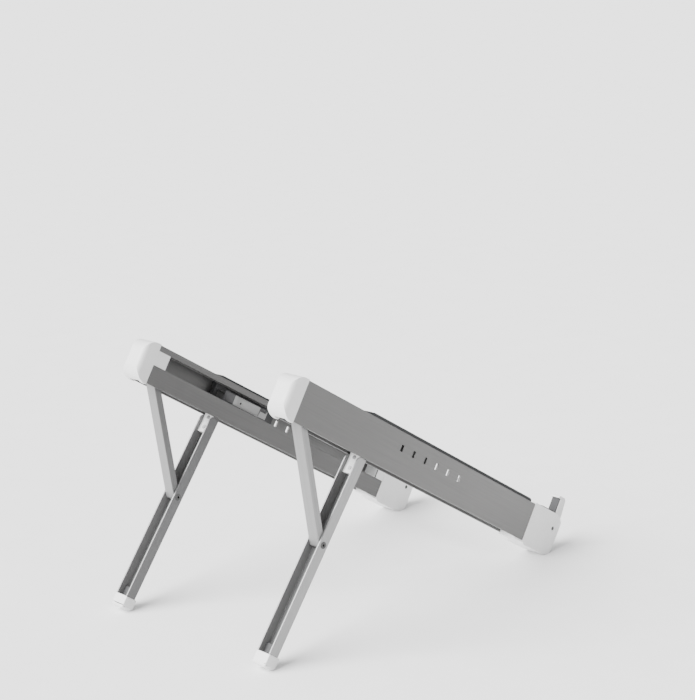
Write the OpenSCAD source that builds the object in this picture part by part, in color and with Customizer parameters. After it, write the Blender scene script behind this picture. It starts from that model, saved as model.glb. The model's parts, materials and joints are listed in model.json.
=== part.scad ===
// Folding laptop stand: two slotted rails on folding legs, joined by a crossed link.
// Units are mm, +Z is up. The front is at -Y, and the floor is at Z = 0.
// s runs up a rail from its front end, h is square to it, x is outward from the rail's middle.

/* [Rails] */
// Length of each aluminium rail
rail_l = 254; // [250:1:256]
// Height of each rail
rail_h = 28; // [28:0.5:30]
// Width of each rail
rail_w = 16; // [16:0.5:17]
// Wall of each rail
wall = 1.5; // [1.3:0.1:1.6]
// Spacing of the two rails, middle to middle
spread = 151; // [140:1:160]
// Lower edge of the gap in the inner side
gap_lo = 13.5; // [13:0.5:14]
// Upper edge of the gap in the inner side
gap_hi = 24; // [24:0.5:24.5]

/* [Height slots] */
// Place of the rearmost slot
slot_s = 152.3; // [150:0.1:154]
// Pitch of the slots
slot_pitch = 12.8; // [12:0.1:13]
// Number of slots
slot_n = 6; // [4:1:6]
// Width of a slot
slot_w = 2.4; // [2:0.1:3]
// Height of a slot
slot_hgt = 4.6; // [4:0.1:5]
// Height of the slot middles
slot_h = 17.8; // [17:0.1:18.5]

/* [Leg set] */
// Place of the strut's top pivot along the rail
p1_s = 255.2; // [255:0.1:256]
// Height of the strut's top pivot
p1_h = 18.5; // [18:0.1:19]
// Place of the middle pivot along the rail
p2_s = 187; // [186:0.1:188]
// Drop of the middle pivot below the rail
p2_drop = 62.3; // [62:0.1:63]
// Place of the leg's top pivot along the rail
p3_s = 181.5; // [181:0.1:182]
// Height of the leg's top pivot
p3_h = 9; // [9:0.1:9.2]
// Length of the leg below the middle pivot
leg_low = 77.3; // [76:0.1:78]
// Width of the leg channel
leg_w = 12; // [11.8:0.1:12.2]
// Depth of the leg channel
leg_d = 8; // [7.8:0.1:8]
// Width of the strut
strut_w = 9.6; // [9.2:0.1:9.6]
// Depth of the strut
strut_d = 5; // [4.8:0.1:5]

/* [Crossed link] */
// Place of the front link pivots
link_s = 16; // [16:0.5:18]
// Stride of the links along the rails
link_run = 44; // [42:1:46]
// Width of a link
link_w = 6; // [5.5:0.1:6]
// Thickness of a link
link_t = 1; // [0.8:0.1:1]

/* [Hidden] */
$fn = 48;
e = 0.01;
p2_h = -p2_drop;
strut_l = norm([p1_s - p2_s, p1_h - p2_h]);
leg_up = norm([p3_s - p2_s, p3_h - p2_h]);
strut_a = atan2(p1_h - p2_h, p1_s - p2_s);
leg_a = atan2(p3_h - p2_h, p3_s - p2_s);
screw_v = [leg_up - 17.8, leg_up - 10.3];
half_w = rail_w / 2;
in_w = half_w - wall;
cap_w = rail_w / 2 + 0.5;
// part of the rear cap that lies inside the rail
lap = 11.4;
rear_end = 266.4;
// middle line of the link pivots inside a rail
lane = -3.2;
link_reach = spread + 2 * lane;
link_l = norm([link_reach, link_run]);
link_angle = atan2(link_run, link_reach);
link_end = link_s + link_run;
// undersides of the two links
level_a = 22.8;
level_b = 21.6;
rivet_r = 1.25;
head_r = 2.2;
glide_r = 3.1;
// pins of the leg set and of the stop
strut_pin_r = 1.6;
leg_pin_r = 1.5;
stop_pin_s = -28;
stop_pin_h = 18;
stop_pin_r = 1.5;
// screws of the leg insert
screw_r = 0.8;
foot_len = 9;
foot_r = 2.5;
foot_front = leg_d / 2 + 2;
foot_half = leg_w / 2 + 0.3;
cap_end = -37.9;
cap_low = -2.6;
toe_r = 12.4;
toe_s = cap_end + toe_r;
toe_h = cap_low + toe_r;
// unit vectors of the leg: up along it and square to it toward the rear
leg_v = [cos(leg_a), sin(leg_a)];
leg_u = [sin(leg_a), -cos(leg_a)];
corner = [p2_s, p2_h] + leg_u * (foot_r - foot_front) - leg_v * (leg_low + foot_len - foot_r);
run_s = corner[0] - toe_s;
run_h = corner[1] - toe_h;
tilt = asin((foot_r - toe_r) / norm([run_s, run_h])) - atan2(run_h, run_s);
// height of the floor line in the rail's own frame
rise = toe_r - (toe_s * sin(tilt) + toe_h * cos(tilt));
// upright stop: front corner of its top
stop_s = -37.2;
stop_h = 41.5;
heel = [p2_s, p2_h] + leg_u * (leg_d / 2 - 2) - leg_v * (leg_low + foot_len - 2);
y_front = stop_s * cos(tilt) - stop_h * sin(tilt);
y_rear = heel[0] * cos(tilt) - heel[1] * sin(tilt) + 2;
y_mid = (y_front + y_rear) / 2;

// the rail frame, tilted so that the foot and the front cap stand on the floor
module tilted() {
    translate([0, -y_mid, rise]) rotate([tilt, 0, 0]) children();
}

// side 1 is the +X arm, side -1 the mirrored -X arm
module arm(side) {
    tilted() translate([side * spread / 2, 0, 0]) mirror([side < 0 ? 1 : 0, 0, 0]) children();
}

// rounded rectangle from (a, b) to (c, d), with the radii of its four corners
module rrect(a, b, c, d, r) {
    polygon([
        [a + r[0], b], [c - r[1], b], [c, b + r[1]], [c, d - r[2]],
        [c - r[2], d], [a + r[3], d], [a, d - r[3]], [a, b + r[0]]
    ]);
    translate([a + r[0], b + r[0]]) circle(r = r[0]);
    translate([c - r[1], b + r[1]]) circle(r = r[1]);
    translate([c - r[2], d - r[2]]) circle(r = r[2]);
    translate([a + r[3], d - r[3]]) circle(r = r[3]);
}

// a side-view outline in (s, h), given thickness from x0 to x1
module side_slab(x0, x1) {
    translate([x0, 0, 0]) rotate([90, 0, 90]) linear_extrude(x1 - x0) children();
}

// a plan outline in (x, s), given height from h0 to h1
module plan_slab(h0, h1) {
    translate([0, 0, h0]) linear_extrude(h1 - h0) children();
}

// a round bar along x
module xbar(x0, x1, s, h, r) {
    translate([x0, s, h]) rotate([0, 90, 0]) cylinder(h = x1 - x0, r = r);
}

// a round bar along h
module hbar(x, s, h0, h1, r) {
    translate([x, s, h0]) cylinder(h = h1 - h0, r = r);
}

// a box by its corners
module block(x0, x1, s0, s1, h0, h1) {
    translate([x0, s0, h0]) cube([x1 - x0, s1 - s0, h1 - h0]);
}

// the leg's own frame: middle pivot at the origin, second axis up the leg
module leg_frame() {
    translate([0, p2_s, p2_h]) rotate([leg_a, 0, 0]) children();
}

// the strut's own frame: middle pivot at the origin, second axis up the strut
module strut_frame() {
    translate([0, p2_s, p2_h]) rotate([strut_a, 0, 0]) children();
}

// ---- rails ----
module rail_part() {
    difference() {
        union() {
            block(in_w, half_w, 0, rail_l, 0, rail_h);
            block(-half_w, half_w, 0, rail_l, rail_h - wall, rail_h);
            block(-half_w, -in_w, 0, rail_l, 0, rail_h);
            // guide rib for the link's glide
            block(0.4, 1.4, 12, rail_l - 12, gap_hi + 0.2, rail_h - wall + e);
        }
        // long gap in the inner side
        block(-half_w - 1, -in_w + 1, 8, rail_l - lap - 0.1, gap_lo, gap_hi);
        // thinned ends of the gap, where the cap tongues lie
        block(-half_w - 1, -half_w + wall / 2, -1, 8.1, gap_lo, gap_hi);
        block(-half_w - 1, -half_w + wall / 2, rail_l - lap - 0.2, rail_l + 1, gap_lo, gap_hi);
        for (i = [0 : slot_n - 1])
            block(in_w - 1, half_w + 1, slot_s - i * slot_pitch - slot_w / 2,
                slot_s - i * slot_pitch + slot_w / 2, slot_h - slot_hgt / 2, slot_h + slot_hgt / 2);
        // hole of the front link rivet
        hbar(lane, link_s, rail_h - wall - 1, rail_h + 1, rivet_r);
        // shallow seat of the top strip
        block(-1.6, 6.1, 2.9, 196.1, rail_h - 0.5, rail_h + 1);
    }
}

// ---- caps ----
module rear_cap_part() {
    difference() {
        union() {
            intersection() {
                side_slab(-cap_w, cap_w)
                    rrect(rail_l + 0.05, -1, rear_end, rail_h + 0.5, [0.6, 11.7, 9.5, 0.6]);
                plan_slab(-3, rail_h + 1) rrect(-cap_w, rail_l, cap_w, rear_end, [0.3, 0.3, 4, 4]);
            }
            // plug inside the rail
            block(-in_w + 0.1, in_w - 0.1, rail_l - lap, rail_l + 1, 3, rail_h - wall - 0.1);
            // tongue in the gap
            block(-half_w, -half_w + wall / 2, rail_l - lap, rail_l + 1, gap_lo + 0.1, gap_hi - 0.1);
        }
        // slot for the strut
        side_slab(-strut_w / 2 - 0.3, strut_w / 2 + 0.3) polygon([
            [rail_l - 20, -10], [rail_l + 4, -10], [p1_s + 4.2, p1_h - 8],
            [p1_s + 4.2, p1_h + 3.6], [p1_s - 4, p1_h + 3.6], [rail_l - 20, p1_h + 2]
        ]);
        xbar(-strut_w / 2 - 1.6, strut_w / 2 + 1.6, p1_s, p1_h, strut_pin_r);
    }
}

module strut_pin_part() {
    xbar(-strut_w / 2 - 1.5, strut_w / 2 + 1.5, p1_s, p1_h, strut_pin_r);
}

module front_cap_part() {
    difference() {
        union() {
            intersection() {
                side_slab(-cap_w, cap_w) rrect(cap_end, cap_low, -0.05, rail_h + 1, [toe_r, 4, 0.6, 12]);
                plan_slab(-4, rail_h + 2) rrect(-cap_w, cap_end, cap_w, 0, [4, 4, 0.3, 0.3]);
            }
            // plug inside the rail
            block(-in_w + 0.1, in_w - 0.1, -1, 7, 3, rail_h - wall - 0.1);
            // lower plate that closes the front of the underside
            block(-in_w + 0.1, in_w - 0.1, -1, 9.5, -1.2, 3.1);
            block(-half_w + 0.4, half_w - 0.4, -1, 9.5, -1.2, -0.1);
            // tongue in the gap
            block(-half_w, -half_w + wall / 2, -1, 7.6, gap_lo + 0.1, gap_hi - 0.1);
        }
        // well of the stop
        block(-4.3, 4.3, -33, 2, 3, rail_h + 2);
        block(-4.3, 4.3, -41, -32, 13.6, rail_h + 2);
        // bore of the stop pin
        xbar(-cap_w - 1, cap_w + 1, stop_pin_s, stop_pin_h, stop_pin_r);
    }
}

module stop_pin_part() {
    xbar(-cap_w + 0.2, cap_w - 0.2, stop_pin_s, stop_pin_h, stop_pin_r);
}

module top_strip_part() {
    side_slab(-1.5, 6) polygon([
        [3, rail_h - 0.5], [196, rail_h - 0.5], [196, rail_h + 0.3], [186, rail_h + 2.5],
        [5, rail_h + 2.5], [3, rail_h + 1.7]
    ]);
}

// ---- flip-up stop ----
module stop_part() {
    difference() {
        union() {
            xbar(-3.9, 3.9, stop_pin_s, stop_pin_h, 3.6);
            side_slab(-3.9, 3.9) polygon([
                [-38.6, 17], [-38.6, 31], [stop_s, stop_h], [-35.7, 43], [-29.3, 43], [-28.6, 42.3],
                [-28.6, 41.2], [-31.3, 41.2], [-31.3, 29.5], [-14.1, 29.5], [-13.5, 28.9],
                [-13.5, 28], [-14.1, 27.4], [-24.6, 27.4], [-24.4, 18], [stop_pin_s, 14.4], [-36, 14.4]
            ]);
        }
        xbar(-5, 5, stop_pin_s, stop_pin_h, stop_pin_r + 0.06);
    }
}

module stop_pad_part() {
    block(-3.4, 3.4, -31.3, -30.1, 29.5, 41.2);
    block(-3.4, 3.4, -30.2, -14.3, 29.5, 30.5);
}

// ---- strut ----
module strut_part() {
    difference() {
        strut_frame() union() {
            block(-strut_w / 2, strut_w / 2, 0, strut_l, -strut_d / 2, strut_d / 2);
            xbar(-strut_w / 2, strut_w / 2, 0, 0, strut_d / 2);
            xbar(-strut_w / 2, strut_w / 2, strut_l, 0, strut_d / 2 + 0.4);
        }
        strut_frame() {
            block(0.9 - strut_w / 2, strut_w / 2 - 0.9, 6, strut_l - 6, 0.9 - strut_d / 2, strut_d / 2 - 0.9);
            xbar(-strut_w, strut_w, 0, 0, strut_pin_r + 0.05);
            xbar(-strut_w, strut_w, strut_l, 0, strut_pin_r + 0.06);
        }
    }
}

// ---- leg ----
module leg_part() {
    leg_frame() difference() {
        block(-leg_w / 2, leg_w / 2, -leg_low, leg_up - 9, -leg_d / 2, leg_d / 2);
        block(-leg_w / 2 + 1, leg_w / 2 - 1, -leg_low - 1, leg_up, -leg_d / 2 - 1, leg_d / 2 - 1);
        // rounded top corners toward the rear
        difference() {
            block(-leg_w, leg_w, leg_up - 13, leg_up, -leg_d / 2 - 1, 0);
            xbar(-leg_w, leg_w, leg_up - 13, 0, leg_d / 2);
            block(-leg_w, leg_w, leg_up - 14, leg_up - 13, -leg_d, 0);
        }
        xbar(-leg_w, leg_w, 0, 0, strut_pin_r);
        // holes of the insert screws
        for (v = screw_v)
            hbar(0, v, 0, leg_d, screw_r);
    }
}

module leg_rivet_part() {
    leg_frame() difference() {
        union() {
            xbar(-leg_w / 2 - 0.3, leg_w / 2 + 0.3, 0, 0, strut_pin_r);
            xbar(-leg_w / 2 - 0.3, -leg_w / 2, 0, 0, 2.4);
            xbar(leg_w / 2, leg_w / 2 + 0.3, 0, 0, 2.4);
        }
        xbar(-leg_w, leg_w, 0, 0, 0.8);
    }
}

module leg_insert_part() {
    leg_frame() difference() {
        union() {
            block(-leg_w / 2 + 1.05, leg_w / 2 - 1.05, leg_up - 21.5, leg_up - 7, -1.2, leg_d / 2 - 1.05);
            block(-leg_w / 2 + 1.2, 0.3, leg_up - 7.1, leg_up, -1.2, leg_d / 2 - 1.05);
            xbar(-leg_w / 2 + 1.2, 0.3, leg_up, 0, 3.1);
        }
        xbar(-leg_w, leg_w, leg_up, 0, leg_pin_r);
        for (v = screw_v)
            hbar(0, v, -leg_d, leg_d, screw_r);
    }
}

module insert_screws_part() {
    leg_frame() for (v = screw_v) {
        hbar(0, v, -1.6, leg_d / 2, screw_r);
        hbar(0, v, -1.6, -1.2, 1.4);
    }
}

module leg_pin_part() {
    leg_frame() xbar(-leg_w / 2 + 1.2, 4.8, leg_up, 0, leg_pin_r);
}

module foot_part() {
    leg_frame() {
        difference() {
            foot_shell();
            block(-leg_w, leg_w, -leg_low, 0, -leg_d, leg_d);
        }
        // tenon inside the channel
        block(-leg_w / 2 + 1.05, leg_w / 2 - 1.05, -leg_low - 0.1, -leg_low + 7, 0.2, leg_d / 2 - 1.05);
    }
}

// outer body of a foot, rounded at its lower corners
module foot_shell() {
    intersection() {
        // seen from the side: second axis up the leg, third toward the front
        side_slab(-foot_half, foot_half)
            rrect(-leg_low - foot_len, -leg_d / 2, -leg_low + 1, foot_front, [2, 0.4, 0.4, foot_r]);
        // seen from behind
        translate([0, 0, -leg_d]) linear_extrude(2 * leg_d)
            rrect(-foot_half, -leg_low - foot_len, foot_half, -leg_low + 1, [2.5, 2.5, 0.3, 0.3]);
    }
}

// ---- slider and lock ----
module slider_part() {
    difference() {
        union() {
            // front plate, behind the height slots
            block(0.9, in_w - 0.3, 124, 158, 14.9, 23.9);
            // runner under the top wall
            block(1.7, in_w - 0.3, 124, 187, 23.8, rail_h - wall - 0.3);
            // upper bar to the pivot
            block(0.9, in_w - 0.3, 157.9, 187, 20.6, 23.9);
            // lug behind the pivot pin
            block(1.7, 4.7, p3_s + 1.7, 187, p3_h + 2.5, 20.7);
            // bridge to the inner side
            block(-5.2, 1, 147, 156, 15.4, 19.1);
            // inner plate seen in the gap
            block(-6.2, -5.1, 145.7, 182.5, 14.2, 21.3);
        }
        // pocket and window of the lock plate
        block(1.7, in_w + 1, 136.8, 156.6, 14, 22.6);
        block(0, 2, 137.1, 145.7, 14, 19.9);
        // round hole in the inner plate
        xbar(-7, -5, 165, 17.3, 1);
    }
}

module lock_part() {
    difference() {
        union() {
            // finger bar and its pad behind the gap
            block(-6, 4.7, 137.4, 145.4, 14.5, 19.7);
            block(-6, -5.1, 137.4, 145.4, 14.5, 21.2);
            // outer plate with the tooth
            block(4.6, 5.6, 137.2, 156.2, 15.2, 22.2);
            block(5.5, in_w - 0.12, slot_s - 1, slot_s + 1, slot_h - 2, slot_h + 2);
        }
        // grip slot
        block(-7, -5.4, 138.2, 144.4, 18.8, 20.2);
    }
}

module lock_spring_part() {
    for (i = [0 : 2])
        translate([1.94 + i * 0.48, 151, 18]) rotate([0, 90, 0])
            rotate_extrude() translate([1.5, 0]) circle(r = 0.26, $fn = 16);
}

// ---- crossed link ----
module link_plate(h0) {
    difference() {
        plan_slab(h0, h0 + link_t) union() {
            translate([-link_w / 2, 0]) square([link_w, link_l]);
            circle(r = link_w / 2);
            translate([0, link_l]) circle(r = link_w / 2);
            translate([0, link_l / 2]) circle(r = link_w / 2 + 1);
        }
        hbar(0, 0, h0 - 1, h0 + link_t + 1, rivet_r + 0.05);
        hbar(0, link_l, h0 - 1, h0 + link_t + 1, rivet_r + 0.05);
        hbar(0, link_l / 2, h0 - 1, h0 + link_t + 1, rivet_r + 0.05);
    }
}

module link_a_part() {
    tilted() translate([-spread / 2 - lane, link_s, 0]) rotate([0, 0, link_angle - 90])
        link_plate(level_a);
}

module link_b_part() {
    tilted() translate([spread / 2 + lane, link_s, 0]) rotate([0, 0, 90 - link_angle])
        link_plate(level_b);
}

module middle_rivet_part() {
    tilted() {
        hbar(0, link_s + link_run / 2, level_b - 0.8, level_a + link_t, rivet_r);
        hbar(0, link_s + link_run / 2, level_b - 0.8, level_b - 0.1, head_r);
        hbar(0, link_s + link_run / 2, level_b + link_t + 0.05, level_a - 0.05, 2);
    }
}

// the link of the -X arm's front pivot runs on the upper level
module front_rivet_part(low) {
    hbar(lane, link_s, low - 0.9, rail_h, rivet_r);
    hbar(lane, link_s, low - 0.9, low - 0.1, head_r);
    hbar(lane, link_s, low + link_t + 0.1, rail_h - wall, head_r);
}

// round glide that runs between the inner wall and the guide rib
module shoe_part() {
    difference() {
        hbar(lane, link_end, gap_hi + 0.1, rail_h - wall - 0.2, glide_r);
        hbar(lane, link_end, gap_hi - 1, rail_h, rivet_r);
    }
}

module shoe_pin_part(low) {
    hbar(lane, link_end, low - 0.9, rail_h - wall - 0.3, rivet_r);
    hbar(lane, link_end, low - 0.9, low - 0.1, 1.75);
    hbar(lane, link_end, low + link_t + 0.1, gap_hi + 0.1, 2);
}

// ---- named pieces ----
module rail_r() { color("silver") arm(-1) rail_part(); }
module rail_l() { color("silver") arm(1) rail_part(); }
module rear_cap_r() { color("white") arm(-1) rear_cap_part(); }
module rear_cap_l() { color("white") arm(1) rear_cap_part(); }
module front_cap_r() { color("white") arm(-1) front_cap_part(); }
module front_cap_l() { color("white") arm(1) front_cap_part(); }
module top_strip_r() { color("dimgray") arm(-1) top_strip_part(); }
module top_strip_l() { color("dimgray") arm(1) top_strip_part(); }
module strut_pin_r() { color("gray") arm(-1) strut_pin_part(); }
module strut_pin_l() { color("gray") arm(1) strut_pin_part(); }
module strut_r() { color("lightgray") arm(-1) strut_part(); }
module strut_l() { color("lightgray") arm(1) strut_part(); }
module leg_r() { color("gainsboro") arm(-1) leg_part(); }
module leg_l() { color("gainsboro") arm(1) leg_part(); }
module leg_insert_r() { color("white") arm(-1) leg_insert_part(); }
module leg_insert_l() { color("white") arm(1) leg_insert_part(); }
module insert_screws_r() { color("gray") arm(-1) insert_screws_part(); }
module insert_screws_l() { color("gray") arm(1) insert_screws_part(); }
module leg_rivet_r() { color("gray") arm(-1) leg_rivet_part(); }
module leg_rivet_l() { color("gray") arm(1) leg_rivet_part(); }
module leg_pin_r() { color("gray") arm(-1) leg_pin_part(); }
module leg_pin_l() { color("gray") arm(1) leg_pin_part(); }
module foot_r() { color("white") arm(-1) foot_part(); }
module foot_l() { color("white") arm(1) foot_part(); }
module slider_r() { color("darkgray") arm(-1) slider_part(); }
module slider_l() { color("darkgray") arm(1) slider_part(); }
module lock_r() { color("black") arm(-1) lock_part(); }
module lock_l() { color("black") arm(1) lock_part(); }
module lock_spring_r() { color("gray") arm(-1) lock_spring_part(); }
module lock_spring_l() { color("gray") arm(1) lock_spring_part(); }
module stop_r() { color("white") arm(-1) stop_part(); }
module stop_l() { color("white") arm(1) stop_part(); }
module stop_pad_r() { color("gray") arm(-1) stop_pad_part(); }
module stop_pad_l() { color("gray") arm(1) stop_pad_part(); }
module stop_pin_r() { color("dimgray") arm(-1) stop_pin_part(); }
module stop_pin_l() { color("dimgray") arm(1) stop_pin_part(); }
module front_rivet_r() { color("gray") arm(-1) front_rivet_part(level_a); }
module front_rivet_l() { color("gray") arm(1) front_rivet_part(level_b); }
module shoe_r() { color("black") arm(-1) shoe_part(); }
module shoe_l() { color("black") arm(1) shoe_part(); }
module shoe_pin_r() { color("gray") arm(-1) shoe_pin_part(level_b); }
module shoe_pin_l() { color("gray") arm(1) shoe_pin_part(level_a); }
module link_a() { color("slategray") link_a_part(); }
module link_b() { color("slategray") link_b_part(); }
module middle_rivet() { color("gray") middle_rivet_part(); }

rail_r();
rail_l();
rear_cap_r();
rear_cap_l();
front_cap_r();
front_cap_l();
top_strip_r();
top_strip_l();
strut_pin_r();
strut_pin_l();
strut_r();
strut_l();
leg_r();
leg_l();
leg_insert_r();
leg_insert_l();
insert_screws_r();
insert_screws_l();
leg_rivet_r();
leg_rivet_l();
leg_pin_r();
leg_pin_l();
foot_r();
foot_l();
slider_r();
slider_l();
lock_r();
lock_l();
lock_spring_r();
lock_spring_l();
stop_r();
stop_l();
stop_pad_r();
stop_pad_l();
stop_pin_r();
stop_pin_l();
front_rivet_r();
front_rivet_l();
shoe_r();
shoe_l();
shoe_pin_r();
shoe_pin_l();
link_a();
link_b();
middle_rivet();
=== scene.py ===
"""Folding laptop stand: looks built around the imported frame. Metres, +Z up, rest pose.

The near arm, at -X, is "r" and the far arm, at +X, is "l". Places on an arm are given in mm:
x outward from the rail's middle, s up the rail from its front end, h square to the rail."""
import json
import math

import bmesh
import bpy
from mathutils import Matrix, Vector


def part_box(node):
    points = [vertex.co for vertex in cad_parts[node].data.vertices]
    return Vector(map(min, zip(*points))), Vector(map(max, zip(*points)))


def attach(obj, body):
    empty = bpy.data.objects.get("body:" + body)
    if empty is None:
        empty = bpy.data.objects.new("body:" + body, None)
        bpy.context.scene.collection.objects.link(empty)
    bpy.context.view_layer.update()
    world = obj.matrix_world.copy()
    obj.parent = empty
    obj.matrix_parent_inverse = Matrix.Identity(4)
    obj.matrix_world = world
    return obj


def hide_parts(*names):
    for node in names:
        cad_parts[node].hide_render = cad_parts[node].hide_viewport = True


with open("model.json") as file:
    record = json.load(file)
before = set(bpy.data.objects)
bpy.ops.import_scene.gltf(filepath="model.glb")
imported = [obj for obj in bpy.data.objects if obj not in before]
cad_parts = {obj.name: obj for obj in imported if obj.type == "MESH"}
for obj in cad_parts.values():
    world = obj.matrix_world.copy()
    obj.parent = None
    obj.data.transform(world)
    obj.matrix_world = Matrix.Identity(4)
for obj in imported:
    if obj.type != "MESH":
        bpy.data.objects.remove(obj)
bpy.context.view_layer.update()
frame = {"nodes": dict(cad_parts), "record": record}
nodes = frame["nodes"]
behaviour = frame["record"]["behaviour"]
joints = {joint["name"]: joint for joint in behaviour["joints"]}
body_of = {node: body for body, members in behaviour["bodies"].items() for node in members}

# ---- measures of an arm ----
ARMS = "rl"
# the strut's top pivot, up the rail and square to it, in metres
PIVOT_ALONG, PIVOT_UP = 0.2552, 0.0185
# the rail, its front link's hole and its row of slots, in mm
RAIL_LENGTH = 254.0
RIVET_HOLE_S = 16.0
REAR_SLOT_S, SLOT_PITCH, SLOT_COUNT = 152.3, 12.8, 6

# ---- directions and places, from the record's joints ----
UP = Vector(joints["spread"]["axis"]).normalized()
ALONG = Vector((0, UP.z, -UP.y))
OUT = {"r": Vector((-1, 0, 0)), "l": Vector((1, 0, 0))}
TOP_PIVOT = {k: Vector(joints["fold_" + k]["pos_m"]) for k in ARMS}
KNEE = {k: Vector(joints["knee_" + k]["pos_m"]) for k in ARMS}
ORIGIN = {k: TOP_PIVOT[k] - ALONG * PIVOT_ALONG - UP * PIVOT_UP for k in ARMS}


def spot(k, x, s, h):
    """A point of arm k from its own measures."""
    return ORIGIN[k] + OUT[k] * x / 1000 + ALONG * s / 1000 + UP * h / 1000


def leg_direction(k):
    """The way up leg k, from its middle pivot to its top pin."""
    lo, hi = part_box("leg_pin_" + k)
    way = (lo + hi) / 2 - KNEE[k]
    way.x = 0
    return way.normalized()


def tilt_of(way):
    return math.atan2(way.z, way.y)


LEG_DIR = {k: leg_direction(k) for k in ARMS}
LEG_FRONT = Vector((0, -LEG_DIR["r"].z, LEG_DIR["r"].y))
RAIL_TILT = tilt_of(ALONG)
LEG_TILT = tilt_of(LEG_DIR["r"])
STRUT_TILT = tilt_of(TOP_PIVOT["r"] - KNEE["r"])


# ---- shader helpers ----
def new_material(name):
    mat = bpy.data.materials.new(name)
    mat.use_nodes = True
    tree = mat.node_tree
    return mat, tree, tree.nodes["Principled BSDF"]


def link(tree, source, output, target, entry):
    tree.links.new(source.outputs[output], target.inputs[entry])


def coords(tree, tilt=0.0, scale=(1, 1, 1)):
    """Object coordinates turned so that the second axis runs along the piece."""
    place = tree.nodes.new("ShaderNodeTexCoord")
    turn = tree.nodes.new("ShaderNodeMapping")
    turn.vector_type = "POINT"
    turn.inputs["Rotation"].default_value = (-tilt, 0, 0)
    stretch = tree.nodes.new("ShaderNodeMapping")
    stretch.inputs["Scale"].default_value = scale
    link(tree, place, "Object", turn, "Vector")
    link(tree, turn, "Vector", stretch, "Vector")
    return stretch


def noise(tree, place, scale, detail, rough=0.5):
    cloud = tree.nodes.new("ShaderNodeTexNoise")
    cloud.inputs["Scale"].default_value = scale
    cloud.inputs["Detail"].default_value = detail
    cloud.inputs["Roughness"].default_value = rough
    link(tree, place, "Vector", cloud, "Vector")
    return cloud


def ramp(tree, source, stops):
    """Turns a noise into colours, from a list of (position, colour)."""
    colours = tree.nodes.new("ShaderNodeValToRGB")
    points = colours.color_ramp.elements
    for point, (position, colour) in zip(points, (stops[0], stops[-1])):
        point.position = position
        point.color = (*colour, 1)
    for position, colour in stops[1:-1]:
        points.new(position).color = (*colour, 1)
    link(tree, source, "Fac", colours, "Fac")
    return colours


def remap(tree, source, output, to_lo, to_hi, from_lo=0.3, from_hi=0.7):
    scaled = tree.nodes.new("ShaderNodeMapRange")
    scaled.inputs["From Min"].default_value = from_lo
    scaled.inputs["From Max"].default_value = from_hi
    scaled.inputs["To Min"].default_value = to_lo
    scaled.inputs["To Max"].default_value = to_hi
    link(tree, source, output, scaled, "Value")
    return scaled


def multiply(tree, first, first_output, second, second_output):
    mix = tree.nodes.new("ShaderNodeMix")
    mix.data_type = "RGBA"
    mix.blend_type = "MULTIPLY"
    mix.inputs["Factor"].default_value = 1.0
    link(tree, first, first_output, mix, "A")
    link(tree, second, second_output, mix, "B")
    return mix


def bump(tree, source, strength, distance, before=None):
    dents = tree.nodes.new("ShaderNodeBump")
    dents.inputs["Strength"].default_value = strength
    dents.inputs["Distance"].default_value = distance
    link(tree, source, "Fac", dents, "Height")
    if before is not None:
        link(tree, before, "Normal", dents, "Normal")
    return dents


def shade(colour, factor):
    return tuple(min(1.0, value * factor) for value in colour)


def grey(value):
    return (value, value, value)


# ---- kinds of material ----
def anodised(name, colour, tilt, rough, metallic=1.0, painted_shade=None):
    """Bead-blasted, anodised aluminium with a faint drawn grain along the piece.

    fade gives two places along the piece, each followed by the tone there; the colour changes between
    them as painted shade, darker where less light falls."""
    mat, tree, shader = new_material(name)
    blasted = noise(tree, coords(tree, tilt), scale=5200, detail=2.0, rough=0.6)
    drawn = noise(tree, coords(tree, tilt, (900, 16, 900)), scale=1.0, detail=3.0, rough=0.55)
    cloud = noise(tree, coords(tree, tilt, (1, 0.35, 1)), scale=38, detail=4.0, rough=0.6)
    grain = ramp(tree, drawn, [(0.25, shade(colour, 0.93)), (0.5, colour), (0.75, shade(colour, 1.05))])
    patches = ramp(tree, cloud, [(0.3, (0.94, 0.94, 0.945)), (0.7, (1, 1, 1))])
    tone = multiply(tree, grain, "Color", patches, "Color")
    # painted shade along the piece, from the tone at one place to the tone at the other
    if painted_shade:
        low, low_tone, high, high_tone = painted_shade
        axes = tree.nodes.new("ShaderNodeSeparateXYZ")
        link(tree, coords(tree, tilt), "Vector", axes, "Vector")
        change = remap(tree, axes, "Y", low_tone, high_tone, from_lo=low, from_hi=high)
        tone = multiply(tree, tone, "Result", change, "Result")
    link(tree, tone, "Result", shader, "Base Color")
    link(tree, remap(tree, cloud, "Fac", rough - 0.04, rough + 0.06), "Result", shader, "Roughness")
    blasted_dents = bump(tree, blasted, strength=0.22, distance=0.00005)
    dents = bump(tree, drawn, strength=0.10, distance=0.00004, before=blasted_dents)
    link(tree, dents, "Normal", shader, "Normal")
    shader.inputs["Metallic"].default_value = metallic
    return mat


def edge_wear_and_shade(name, colour, tilt, rough=0.28):
    """The same metal on a rounded edge, more even and smoother: handled wear where its tone is lighter
    than the piece's, painted shade where it is darker.
    """
    mat, tree, shader = new_material(name)
    wear = noise(tree, coords(tree, tilt, (300, 60, 300)), scale=1.0, detail=4.0, rough=0.65)
    tone = ramp(tree, wear, [(0.3, shade(colour, 0.95)), (0.55, colour), (0.8, shade(colour, 1.18))])
    link(tree, tone, "Color", shader, "Base Color")
    link(tree, remap(tree, wear, "Fac", rough + 0.08, rough - 0.05), "Result", shader, "Roughness")
    fine = noise(tree, coords(tree, tilt), scale=2600, detail=2.0)
    link(tree, bump(tree, fine, strength=0.12, distance=0.00004), "Normal", shader, "Normal")
    shader.inputs["Metallic"].default_value = 1.0
    return mat


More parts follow.
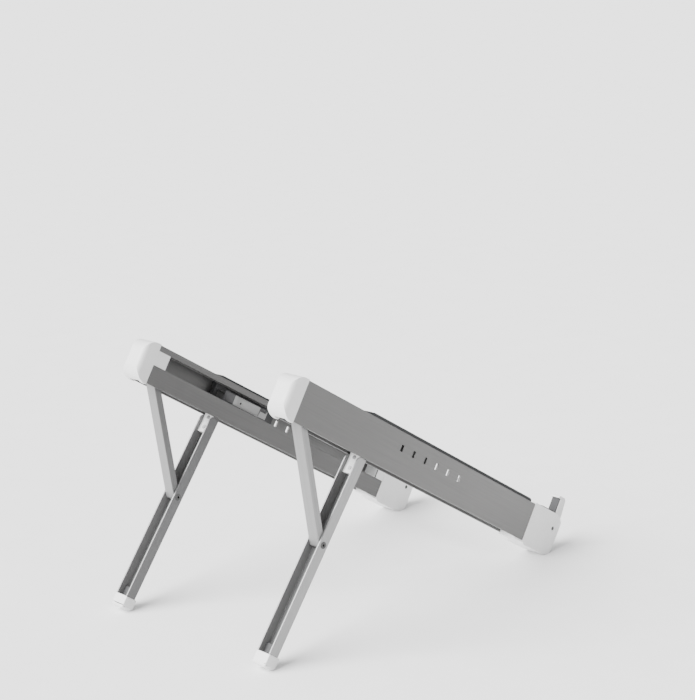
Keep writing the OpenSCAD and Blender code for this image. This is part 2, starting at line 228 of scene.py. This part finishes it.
def plastic(name, colour, rough, texture=1.0, gloss=0.5, fineness=3400):
    """Moulded plastic with a fine spark-eroded texture and faint soiling."""
    mat, tree, shader = new_material(name)
    place = coords(tree)
    eroded = noise(tree, place, scale=fineness, detail=3.0, rough=0.55)
    orange_peel = noise(tree, place, scale=620, detail=2.0)
    soil = noise(tree, place, scale=55, detail=5.0, rough=0.62)
    tone = ramp(tree, soil, [(0.28, shade(colour, 0.955)), (0.5, colour), (0.75, shade(colour, 1.02))])
    link(tree, tone, "Color", shader, "Base Color")
    link(tree, remap(tree, soil, "Fac", rough + 0.06, rough - 0.04), "Result", shader, "Roughness")
    eroded_dents = bump(tree, eroded, strength=0.20 * texture, distance=0.00006)
    dents = bump(tree, orange_peel, strength=0.06 * texture, distance=0.00012, before=eroded_dents)
    link(tree, dents, "Normal", shader, "Normal")
    shader.inputs["Specular IOR Level"].default_value = gloss
    return mat


def rubber(name, colour):
    """Dull silicone rubber with a little dust."""
    mat, tree, shader = new_material(name)
    place = coords(tree)
    fine = noise(tree, place, scale=4200, detail=4.0, rough=0.7)
    dust = noise(tree, place, scale=180, detail=5.0, rough=0.65)
    tone = ramp(tree, dust, [(0.3, shade(colour, 0.82)), (0.55, colour), (0.8, shade(colour, 1.22))])
    link(tree, tone, "Color", shader, "Base Color")
    link(tree, remap(tree, dust, "Fac", 0.66, 0.82), "Result", shader, "Roughness")
    link(tree, bump(tree, fine, strength=0.4, distance=0.00008), "Normal", shader, "Normal")
    shader.inputs["Specular IOR Level"].default_value = 0.3
    return mat


def steel(name, colour, rough=0.24):
    """Turned steel with fine rings and a few dull patches."""
    mat, tree, shader = new_material(name)
    rings = noise(tree, coords(tree, scale=(1400, 1400, 30)), scale=1.0, detail=3.0, rough=0.6)
    patches = noise(tree, coords(tree), scale=240, detail=4.0, rough=0.6)
    tone = ramp(tree, patches, [(0.3, shade(colour, 0.86)), (0.6, colour), (0.8, shade(colour, 1.1))])
    link(tree, tone, "Color", shader, "Base Color")
    link(tree, remap(tree, rings, "Fac", rough - 0.05, rough + 0.1), "Result", shader, "Roughness")
    link(tree, bump(tree, rings, strength=0.12, distance=0.00003), "Normal", shader, "Normal")
    shader.inputs["Metallic"].default_value = 1.0
    return mat


# ---- the stand's materials; a name that ends in _edge is for the rounded edges ----
# painted shade: the rail is coloured a little darker toward its rear end, where less light falls on it
RAIL_PAINTED_SHADE = (spot("r", 0, 60, 0).dot(ALONG), 1.05, spot("r", 0, 250, 0).dot(ALONG), 0.78)
RAIL_METAL = {
    "rail": anodised("anodised_rail", (0.150, 0.149, 0.147), RAIL_TILT, 0.42, 0.62, RAIL_PAINTED_SHADE),
    "rail_edge": edge_wear_and_shade("rail_edge", (0.20, 0.20, 0.197), RAIL_TILT),
    # painted shade: a darker copy of the rail's metal for its inner side, which faces the other arm
    "rail_shaded_inner": anodised("anodised_rail_shaded_inner", (0.115, 0.114, 0.113), RAIL_TILT, 0.42, 0.62),
    "link": anodised("link_steel", (0.40, 0.405, 0.41), RAIL_TILT, 0.30),
    "link_edge": edge_wear_and_shade("link_edge", grey(0.55), RAIL_TILT, 0.24),
}
LEG_METAL = {
    "leg": anodised("anodised_leg", grey(0.31), LEG_TILT, 0.40, 0.6),
    # painted shade: the leg's rounded edges are darker than the leg, to damp their highlight
    "leg_edge": edge_wear_and_shade("leg_edge", grey(0.12), LEG_TILT, 0.4),
    # painted shade: darker copies of the leg's metal for its inner side, the inside of its channel and,
    # darkest, the channel's web
    "leg_shaded_side": anodised("anodised_leg_shaded_side", (0.125, 0.125, 0.126), LEG_TILT, 0.42, 0.6),
    "leg_shaded_inner": anodised("anodised_leg_shaded_inner", grey(0.27), LEG_TILT, 0.55, 0.4),
    "leg_shaded_web": anodised("anodised_leg_shaded_web", grey(0.11), LEG_TILT, 0.6, 0.3),
    "strut": anodised("anodised_strut", grey(0.26), STRUT_TILT, 0.42, 0.55),
    "strut_edge": edge_wear_and_shade("strut_edge", grey(0.26), STRUT_TILT, 0.36),
    # painted shade: a darker copy of the strut's metal for its inner side
    "strut_shaded_inner": anodised("anodised_strut_shaded_inner", grey(0.135), STRUT_TILT, 0.42, 0.55),
}
PLASTIC = {
    "cap": plastic("white_plastic", grey(0.72), 0.42),
    "cap_edge": plastic("white_plastic_edge", grey(0.76), 0.34, 0.5),
    # painted light: the front caps get a lighter copy of the white plastic than the rear caps, for the
    # light on the front, lower end
    "front": plastic("white_plastic_lit_front", grey(0.83), 0.42),
    "front_edge": plastic("white_plastic_lit_front_edge", grey(0.85), 0.34, 0.5),
    "slider": plastic("grey_plastic", grey(0.27), 0.46, 1.4),
    "slider_edge": plastic("grey_plastic_edge", grey(0.42), 0.38, 0.5),
    "lock": plastic("dark_plastic", (0.055, 0.055, 0.058), 0.48, 1.3),
    "lock_edge": plastic("dark_plastic_edge", (0.085, 0.085, 0.088), 0.38, 0.6),
    "tooth": plastic("black_tooth", (0.012, 0.012, 0.013), 0.6, 1.0, 0.2),
    # painted shade: a near-black for faces in recesses, seams and the inside of the rail, where shade
    # falls
    "dark": plastic("painted_shade_recess", (0.045, 0.045, 0.047), 0.55, 1.6, 0.4, 1500),
}
RUBBER = {
    "grip": rubber("grip_rubber", (0.055, 0.055, 0.057)),
    "grip_edge": rubber("grip_rubber_edge", (0.085, 0.085, 0.087)),
}
STEEL = {
    "pin": steel("pin_steel", (0.42, 0.42, 0.43)),
    "pin_edge": steel("pin_steel_edge", grey(0.58), 0.18),
    "screw": steel("screw_steel", (0.24, 0.24, 0.245), 0.4),
    "screw_edge": steel("screw_steel_edge", (0.33, 0.33, 0.335), 0.34),
    "rivet": steel("rivet_steel", grey(0.10), 0.45),
    "rivet_edge": steel("rivet_steel_edge", grey(0.16), 0.4),
}
MATERIALS = {**RAIL_METAL, **LEG_METAL, **PLASTIC, **RUBBER, **STEEL}


# ---- mesh helpers ----
WELD = 2e-6
FLAT_ANGLE = math.radians(1.5)
ROUNDED_ANGLE = math.radians(28)
SHARP_ANGLE = math.radians(32)
LARGE_FACES_LEAD = 100


def shade_smooth(mesh):
    for face in mesh.polygons:
        face.use_smooth = True
    mesh.set_sharp_from_angle(angle=SHARP_ANGLE)


def cut_square(bm, place):
    """Cuts the faces square to the rails at a place, and gives what lies on the cut."""
    everything = list(bm.verts) + list(bm.edges) + list(bm.faces)
    return bmesh.ops.bisect_plane(bm, geom=everything, plane_co=place, plane_no=ALONG)["geom_cut"]


def whole_faces(node, cuts):
    """A welded copy of a CAD node's mesh with its flat faces made whole between the cuts."""
    bm = bmesh.new()
    bm.from_mesh(nodes[node].data)
    bmesh.ops.remove_doubles(bm, verts=bm.verts, dist=WELD)
    for place in cuts:
        for item in cut_square(bm, place):
            if isinstance(item, bmesh.types.BMEdge):
                item.seam = True
    bmesh.ops.dissolve_limit(bm, angle_limit=FLAT_ANGLE, verts=bm.verts, edges=bm.edges,
                             delimit={"NORMAL", "SEAM"})
    bmesh.ops.recalc_face_normals(bm, faces=bm.faces)
    return bm


def piece(node, bm, materials):
    """A new piece that stands for a CAD node and rides on the node's body."""
    name = "look_" + node
    mesh = bpy.data.meshes.new(name)
    bm.to_mesh(mesh)
    bm.free()
    for mat in materials:
        mesh.materials.append(MATERIALS[mat])
    ob = bpy.data.objects.new(name, mesh)
    bpy.context.scene.collection.objects.link(ob)
    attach(ob, body_of[node])
    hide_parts(node)
    return ob


def round_edges(ob, width, segments):
    """Rounds the edges, keeps the flat faces flat, and puts the result in the mesh."""
    bevel = ob.modifiers.new("edges", "BEVEL")
    bevel.width = width
    bevel.segments = segments
    bevel.limit_method = "ANGLE"
    bevel.angle_limit = ROUNDED_ANGLE
    bevel.use_clamp_overlap = True
    bevel.material = 1
    bevel.miter_outer = "MITER_ARC"
    flat = ob.modifiers.new("normals", "WEIGHTED_NORMAL")
    flat.keep_sharp = True
    flat.weight = LARGE_FACES_LEAD
    depsgraph = bpy.context.evaluated_depsgraph_get()
    rounded = bpy.data.meshes.new_from_object(ob.evaluated_get(depsgraph))
    plain = ob.data
    ob.modifiers.clear()
    ob.data = rounded
    bpy.data.meshes.remove(plain)
    rounded.name = ob.name
    shade_smooth(rounded)


def soften(node, material, width, segments, cuts=()):
    """A CAD node as a piece with rounded edges; the width of a rounded edge is in mm."""
    bm = whole_faces(node, cuts)
    for face in bm.faces:
        face.material_index = 0
        face.smooth = True
    ob = piece(node, bm, [material, material + "_edge"])
    round_edges(ob, width / 1000, segments)
    return ob


# ---- pieces of an arm: material, slot, width of a rounded edge in mm, its segments ----
ARM_PIECES = {
    "rail": ("rail", "rail", 0.35, 3),
    "rear_cap": ("cap", "cap", 0.9, 5),
    "front_cap": ("front", "cap", 0.9, 5),
    "top_strip": ("grip", "grip", 0.5, 3),
    "strut_pin": ("pin", "pin", 0.3, 3),
    "strut": ("strut", "strut", 0.45, 3),
    "leg": ("leg", "leg", 0.3, 3),
    "leg_insert": ("cap", "cap", 0.25, 3),
    "leg_rivet": ("rivet", "pin", 0.12, 2),
    "leg_pin": ("pin", "pin", 0.25, 3),
    "foot": ("cap", "cap", 0.7, 4),
    "slider": ("slider", "slider", 0.25, 2),
    "lock": ("slider", "lock", 0.25, 2),
    "stop": ("cap", "cap", 0.45, 3),
    "stop_pad": ("grip", "grip", 0.25, 2),
    "stop_pin": ("rivet", "pin", 0.25, 3),
    "front_rivet": ("pin", "pin", 0.15, 2),
    "shoe": ("lock", "slider", 0.3, 3),
    "shoe_pin": ("pin", "pin", 0.15, 2),
    "insert_screws": ("screw", "pin", 0.12, 2),
}
# the rail's walls are cut through the middle of every hole, so that no flat face has a hole in it
RAIL_CUTS = [RIVET_HOLE_S] + [REAR_SLOT_S - SLOT_PITCH * i for i in range(SLOT_COUNT)]


def arm_pieces(k):
    made = {}
    for part, (material, slot, width, segments) in ARM_PIECES.items():
        cuts = [spot(k, 0, s, 0) for s in RAIL_CUTS] if part == "rail" else ()
        made[part] = soften(part + "_" + k, material, width, segments, cuts)
    return made


# ---- pieces in two tones ----
def arm_place(k, point):
    """A point in arm k's own mm: outward, along, square."""
    way = (point - ORIGIN[k]) * 1000
    return way.dot(OUT[k]), way.dot(ALONG), way.dot(UP)


def leg_place(k, point):
    """A point in leg k's own mm: outward, up the leg from its middle pivot, toward the front."""
    way = (point - KNEE[k]) * 1000
    return way.dot(OUT[k]), way.dot(LEG_DIR[k]), way.dot(LEG_FRONT)


def recolour(ob, k, place, test, material):
    """Gives a material to the faces that the test picks by their middle."""
    mesh = ob.data
    mesh.materials.append(MATERIALS[material])
    for face in mesh.polygons:
        if test(*place(k, face.center)):
            face.material_index = len(mesh.materials) - 1


def two_tone_rail(ob, k):
    """Painted shade: a darker inner side, facing the other arm, and a dark line where each cap meets
    the rail, for the shade in that seam.
    """
    inner_side, under_top, rim = -7.6, 27, 0.34
    recolour(ob, k, arm_place, lambda x, s, h: x < inner_side and h < under_top, "rail_shaded_inner")
    # painted shade: the rail's end faces, in the seam against each cap
    recolour(ob, k, arm_place, lambda x, s, h: not rim < s < RAIL_LENGTH - rim, "dark")


def two_tone_strut(ob, k):
    """Painted shade: a darker inner side, facing the other arm."""
    inner_side = -4.4
    recolour(ob, k, arm_place, lambda x, s, h: x < inner_side, "strut_shaded_inner")


def two_tone_leg(ob, k):
    """Painted shade: a darker inner side, and the inside of the channel darkened for the shade in it,
    darkest at the web.
    """
    inner_side = -5.75
    channel_half, channel_front = 5.3, 3.3
    web_half, web_back = 4.9, 2.6
    recolour(ob, k, leg_place, lambda x, v, w: x < inner_side, "leg_shaded_side")
    recolour(ob, k, leg_place, lambda x, v, w: abs(x) < channel_half and w < channel_front, "leg_shaded_inner")
    recolour(ob, k, leg_place,
             lambda x, v, w: abs(x) < web_half and web_back < w < channel_front, "leg_shaded_web")


def two_tone_foot(ob, k):
    """Painted shade: the tenon inside the channel is coloured dark for the shade in there."""
    tenon = -77.1
    recolour(ob, k, leg_place, lambda x, v, w: v > tenon, "dark")


def two_tone_slider(ob, k):
    """Painted shade: dark but for the plate in the gap, the wall above it and the side behind the
    slots; the dark stands for the shade inside the rail.
    """
    wall_front, wall_rear, plate_rear = 131, 167.5, 172.3
    plate_back, wall_back, slot_side = 0.5, 1.6, 6.1
    wall_low = 19.5

    def is_dark(x, s, h):
        in_wall = wall_front < s < wall_rear and h > wall_low and x < wall_back
        return s > plate_rear or (plate_back < x < slot_side and not in_wall)

    bm = bmesh.new()
    bm.from_mesh(ob.data)
    for s in (wall_front, wall_rear, plate_rear):
        cut_square(bm, spot(k, 0, s, 0))
    bm.to_mesh(ob.data)
    bm.free()
    shade_smooth(ob.data)
    recolour(ob, k, arm_place, is_dark, "dark")


def two_tone_lock(ob, k):
    """Painted shade: dark but for the pad in the gap and the outer plate, for the shade inside the
    rail; the tooth and the grip slot are dark too, the grip slot for the shade in it.
    """
    pad_back, plate_start, tooth_start = -4.9, 4.7, 5.62
    grip_front, grip_rear = 138.3, 144.3
    grip_low, grip_high = 18.7, 20.3

    def is_dark(x, s, h):
        in_grip = grip_front < s < grip_rear and grip_low < h < grip_high
        return pad_back < x < plate_start or in_grip

    recolour(ob, k, arm_place, is_dark, "dark")
    recolour(ob, k, arm_place, lambda x, s, h: x > tooth_start, "tooth")


# ---- lock springs ----
def coil(centre, axis, length):
    """A closed wire wound around an axis."""
    radius, wire, turns = 0.0015, 0.00022, 3
    steps_per_turn, around = 20, 10
    steps = turns * steps_per_turn
    side = axis.orthogonal().normalized()
    other = axis.cross(side)
    bm = bmesh.new()
    rings = []
    for step in range(steps + 1):
        share = step / steps
        angle = 2 * math.pi * turns * share
        radial = side * math.cos(angle) + other * math.sin(angle)
        middle = centre + axis * (length * (share - 0.5)) + radial * radius
        run = (-side * math.sin(angle) + other * math.cos(angle)) * (2 * math.pi * turns * radius)
        across = (run + axis * length).normalized().cross(radial).normalized()
        rings.append([bm.verts.new(middle + (radial * math.cos(a) + across * math.sin(a)) * wire)
                      for a in (2 * math.pi * j / around for j in range(around))])
    for ring, after in zip(rings, rings[1:]):
        for j in range(around):
            beside = (j + 1) % around
            bm.faces.new((ring[j], ring[beside], after[beside], after[j]))
    bm.faces.new(rings[0][::-1])
    bm.faces.new(rings[-1])
    bmesh.ops.recalc_face_normals(bm, faces=bm.faces)
    return bm


def lock_spring(k):
    """A real coil, wound outward inside the box of its CAD stand-in."""
    node, wire_ends = "lock_spring_" + k, 0.0005
    lo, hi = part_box(node)
    ob = piece(node, coil((lo + hi) / 2, OUT[k], hi.x - lo.x - wire_ends), ["pin"])
    shade_smooth(ob.data)


# ---- the whole stand ----
def crossed_link():
    """The two crossed bars between the arms and the rivet in their middle."""
    soften("link_a", "link", 0.3, 2)
    soften("link_b", "link", 0.3, 2)
    soften("middle_rivet", "pin", 0.2, 2)


def two_tones(made, k):
    two_tone_slider(made["slider"], k)
    two_tone_lock(made["lock"], k)
    two_tone_rail(made["rail"], k)
    two_tone_foot(made["foot"], k)
    two_tone_strut(made["strut"], k)
    two_tone_leg(made["leg"], k)


arms = {k: arm_pieces(k) for k in ARMS}
crossed_link()
for k in ARMS:
    two_tones(arms[k], k)
for k in ARMS:
    lock_spring(k)


# ---- camera, at the photograph's viewpoint ----
def add_camera(scene):
    data = bpy.data.cameras.new("camera")
    data.sensor_width = 36.0
    data.lens = 92.37
    data.clip_start, data.clip_end = 0.01, 100
    ob = bpy.data.objects.new("camera", data)
    scene.collection.objects.link(ob)
    scene.camera = ob
    forward = Vector((0.7105705, -0.6576808, -0.2500910)).normalized()
    right = Vector((-0.6880438, -0.7238504, -0.0513454)).normalized()
    upward = right.cross(forward).normalized()
    eye = Vector((-0.89767, 0.81933, 0.48177))
    ob.matrix_world = Matrix((
        (right.x, upward.x, -forward.x, eye.x),
        (right.y, upward.y, -forward.y, eye.y),
        (right.z, upward.z, -forward.z, eye.z),
        (0, 0, 0, 1)))


# ---- floor and light ----
def add_floor(scene):
    """A plain pale disc, wide enough to reach past the picture."""
    bm = bmesh.new()
    bmesh.ops.create_circle(bm, cap_ends=True, radius=30, segments=64)
    mesh = bpy.data.meshes.new("floor")
    bm.to_mesh(mesh)
    bm.free()
    mat, tree, shader = new_material("floor_pale")
    cloud = noise(tree, coords(tree), scale=30, detail=3.0)
    link(tree, ramp(tree, cloud, [(0.3, grey(0.86)), (0.7, grey(0.88))]), "Color", shader, "Base Color")
    shader.inputs["Roughness"].default_value = 0.9
    shader.inputs["Specular IOR Level"].default_value = 0.0
    mesh.materials.append(mat)
    floor = bpy.data.objects.new("floor", mesh)
    scene.collection.objects.link(floor)


def add_surroundings(scene):
    """White light from all around, stronger from the far side, from behind and from above."""
    brightest_side = (0.62, 0.68, 0.40)
    dimmest, brightest = 0.25, 1.7
    world = scene.world or bpy.data.worlds.new("studio")
    scene.world = world
    world.use_nodes = True
    tree = world.node_tree
    background = tree.nodes.get("Background")
    background.inputs["Color"].default_value = (1, 1, 1, 1)
    place = tree.nodes.new("ShaderNodeTexCoord")
    toward = tree.nodes.new("ShaderNodeVectorMath")
    toward.operation = "DOT_PRODUCT"
    toward.inputs[1].default_value = brightest_side
    link(tree, place, "Generated", toward, 0)
    strength = remap(tree, toward, "Value", dimmest, brightest, from_lo=-0.55, from_hi=0.85)
    link(tree, strength, "Result", background, "Strength")


def add_sun(scene):
    """A very broad, soft key light from behind and above."""
    data = bpy.data.lights.new("key", "SUN")
    data.energy = 9.5
    data.angle = math.radians(55)
    ob = bpy.data.objects.new("key", data)
    scene.collection.objects.link(ob)
    ob.rotation_mode = "QUATERNION"
    shines_toward = Vector((-0.28, -0.68, -0.68))
    ob.rotation_quaternion = shines_toward.to_track_quat("-Z", "Y")


add_camera(bpy.context.scene)
add_floor(bpy.context.scene)
add_surroundings(bpy.context.scene)
add_sun(bpy.context.scene)
